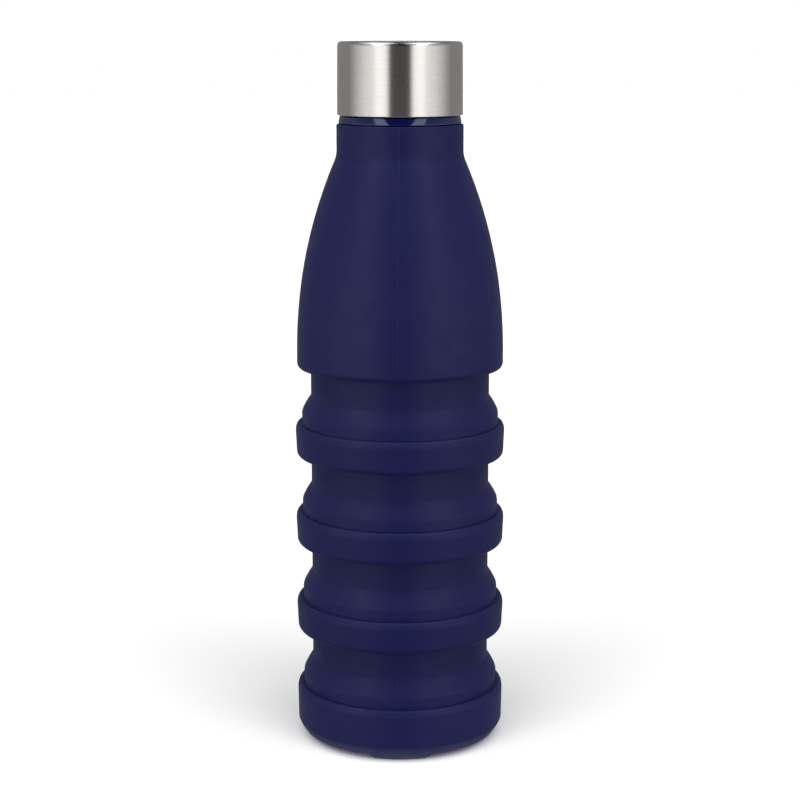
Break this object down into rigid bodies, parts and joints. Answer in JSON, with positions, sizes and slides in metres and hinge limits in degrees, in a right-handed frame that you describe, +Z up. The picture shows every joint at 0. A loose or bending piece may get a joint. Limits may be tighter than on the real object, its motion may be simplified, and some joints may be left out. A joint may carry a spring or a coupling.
{
  "type": "folding water bottle",
  "caption": "Collapsible silicone water bottle with a stack of fold-down rings, a bell-shaped shoulder and a brushed steel screw cap.",
  "frame": {"origin": "centre of the foot, on the surface the bottle stands on", "axes": "+Z up along the bottle's axis, -Y towards the front"},
  "size_m": [0.07, 0.07, 0.2335],
  "materials": {
    "silicone": "soft matt navy silicone",
    "neck_plastic": "polished dark navy",
    "liner_plastic": "plain moulded grey-white",
    "seal": "translucent white silicone",
    "steel": "turned, fine lines around the axis"
  },
  "bodies": {
    "base": {"base_cup": "silicone", "fold_wall_4": "silicone"},
    "ring_3_body": {"ring_3": "silicone", "fold_wall_3": "silicone"},
    "ring_2_body": {"ring_2": "silicone", "fold_wall_2": "silicone"},
    "ring_1_body": {"ring_1": "silicone", "fold_wall_1": "silicone"},
    "shoulder_body": {"shoulder": "silicone", "neck_insert": "neck_plastic"},
    "seal_body": {"cap_seal": "seal"},
    "cap": {"cap_shell": "steel", "cap_liner": "liner_plastic"}
  },
  "joints": [
    {"name": "fold_4", "type": "slide", "parent": "base", "child": "ring_3_body", "axis": [0, 0, 1], "range_m": [-0.0188, 0], "deforming": ["fold_wall_4"]},
    {"name": "fold_3", "type": "slide", "parent": "ring_3_body", "child": "ring_2_body", "axis": [0, 0, 1], "range_m": [-0.0188, 0], "deforming": ["fold_wall_3"]},
    {"name": "fold_2", "type": "slide", "parent": "ring_2_body", "child": "ring_1_body", "axis": [0, 0, 1], "range_m": [-0.0188, 0], "deforming": ["fold_wall_2"]},
    {"name": "fold_1", "type": "slide", "parent": "ring_1_body", "child": "shoulder_body", "axis": [0, 0, 1], "range_m": [-0.0188, 0], "deforming": ["fold_wall_1"]},
    {"name": "cap_rise", "type": "slide", "parent": "shoulder_body", "child": "seal_body", "axis": [0, 0, 1], "range_m": [0, 0.0201]},
    {"name": "cap_turn", "type": "hinge", "parent": "seal_body", "child": "cap", "pos_m": [0, 0, 0.22], "axis": [0, 0, 1], "range_deg": [0, 1800]}
  ],
  "couplings": [
    {"joint": "cap_rise", "follows": "cap_turn", "m_per_rad": 0.00063662}
  ]
}
